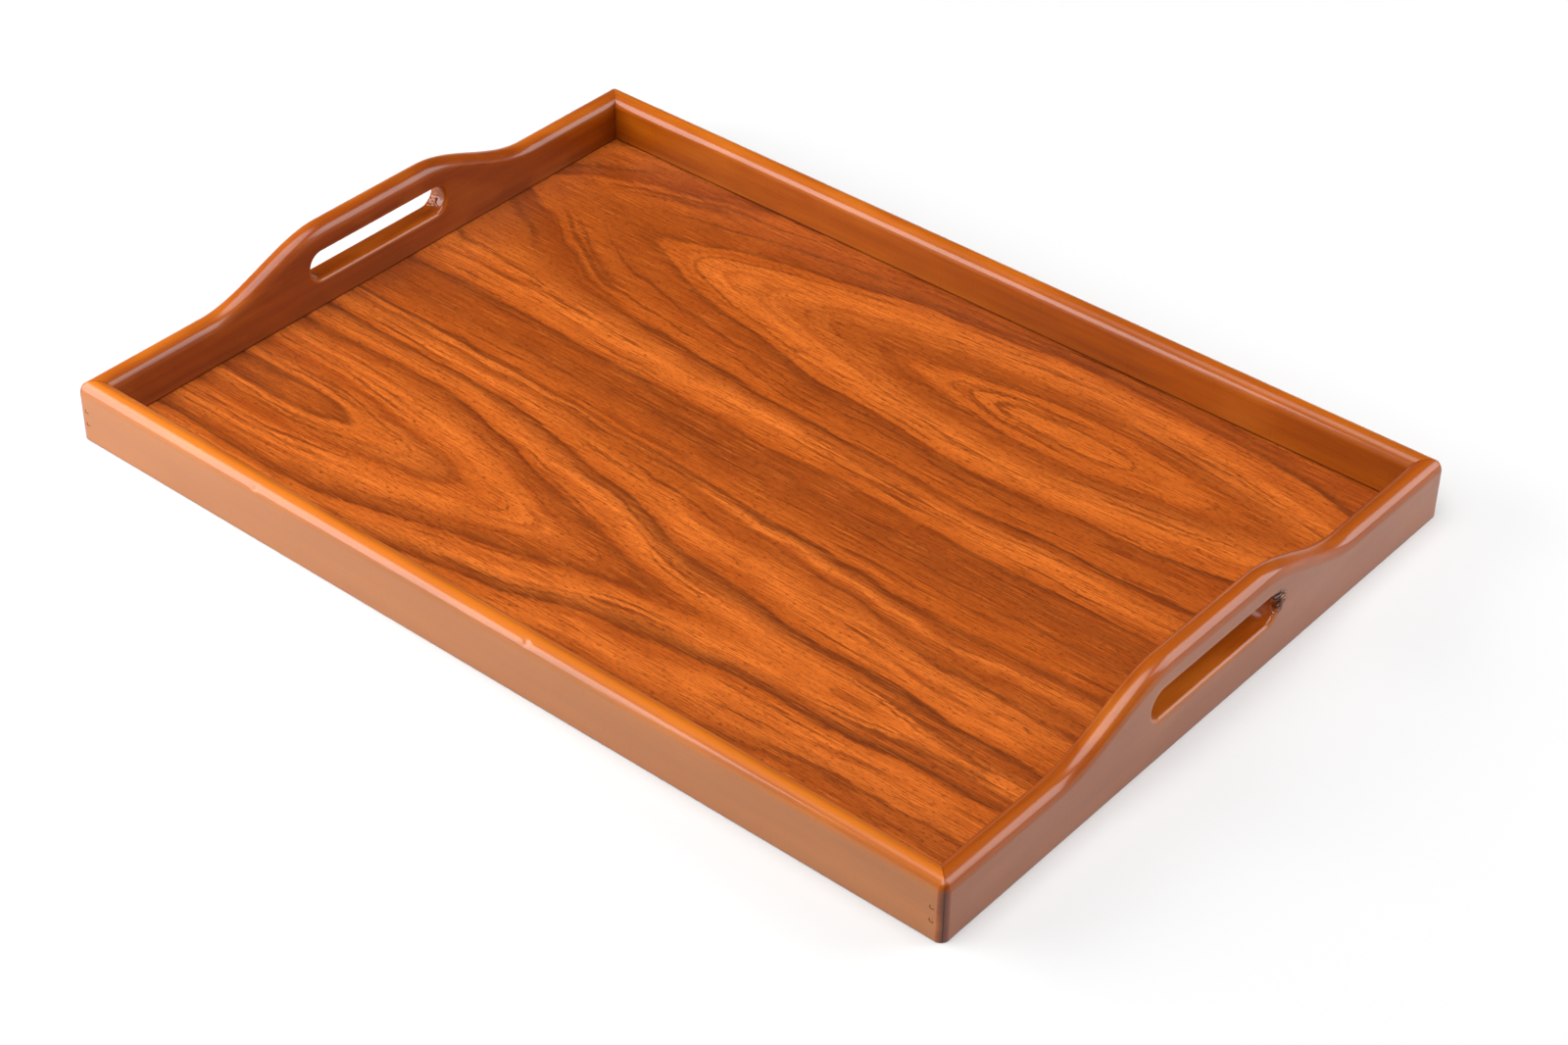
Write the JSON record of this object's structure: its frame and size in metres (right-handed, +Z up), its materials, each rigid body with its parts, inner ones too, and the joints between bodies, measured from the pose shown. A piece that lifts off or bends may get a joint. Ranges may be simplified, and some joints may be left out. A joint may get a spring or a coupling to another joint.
{
  "type": "serving tray",
  "caption": "Rectangular wooden serving tray: a wood-grain panel in a low mitred frame with rounded top edges, whose raised end boards have hand slots.",
  "frame": {"origin": "centre of the outline, on the surface that the tray stands on", "axes": "+X along the tray from the left hand slot to the right one, +Y across it from the front rail to the back rail, +Z up"},
  "size_m": [0.5, 0.36, 0.0505],
  "materials": {
    "frame": "stained beech under gloss lacquer",
    "panel_face": "wood-grain laminate under satin lacquer",
    "panel_core": "raw fibreboard",
    "panel_backing": "plain brown backing laminate",
    "brads": "zinc-plated wire"
  },
  "bodies": {
    "root": {"front_rail": "frame", "back_rail": "frame", "left_end_board": "frame", "right_end_board": "frame", "panel_face": "panel_face", "panel_core": "panel_core", "panel_backing": "panel_backing", "brad_front_left_lower": "brads", "brad_front_left_upper": "brads", "brad_front_right_lower": "brads", "brad_front_right_upper": "brads", "brad_back_left_lower": "brads", "brad_back_left_upper": "brads", "brad_back_right_lower": "brads", "brad_back_right_upper": "brads"}
  },
  "joints": []
}
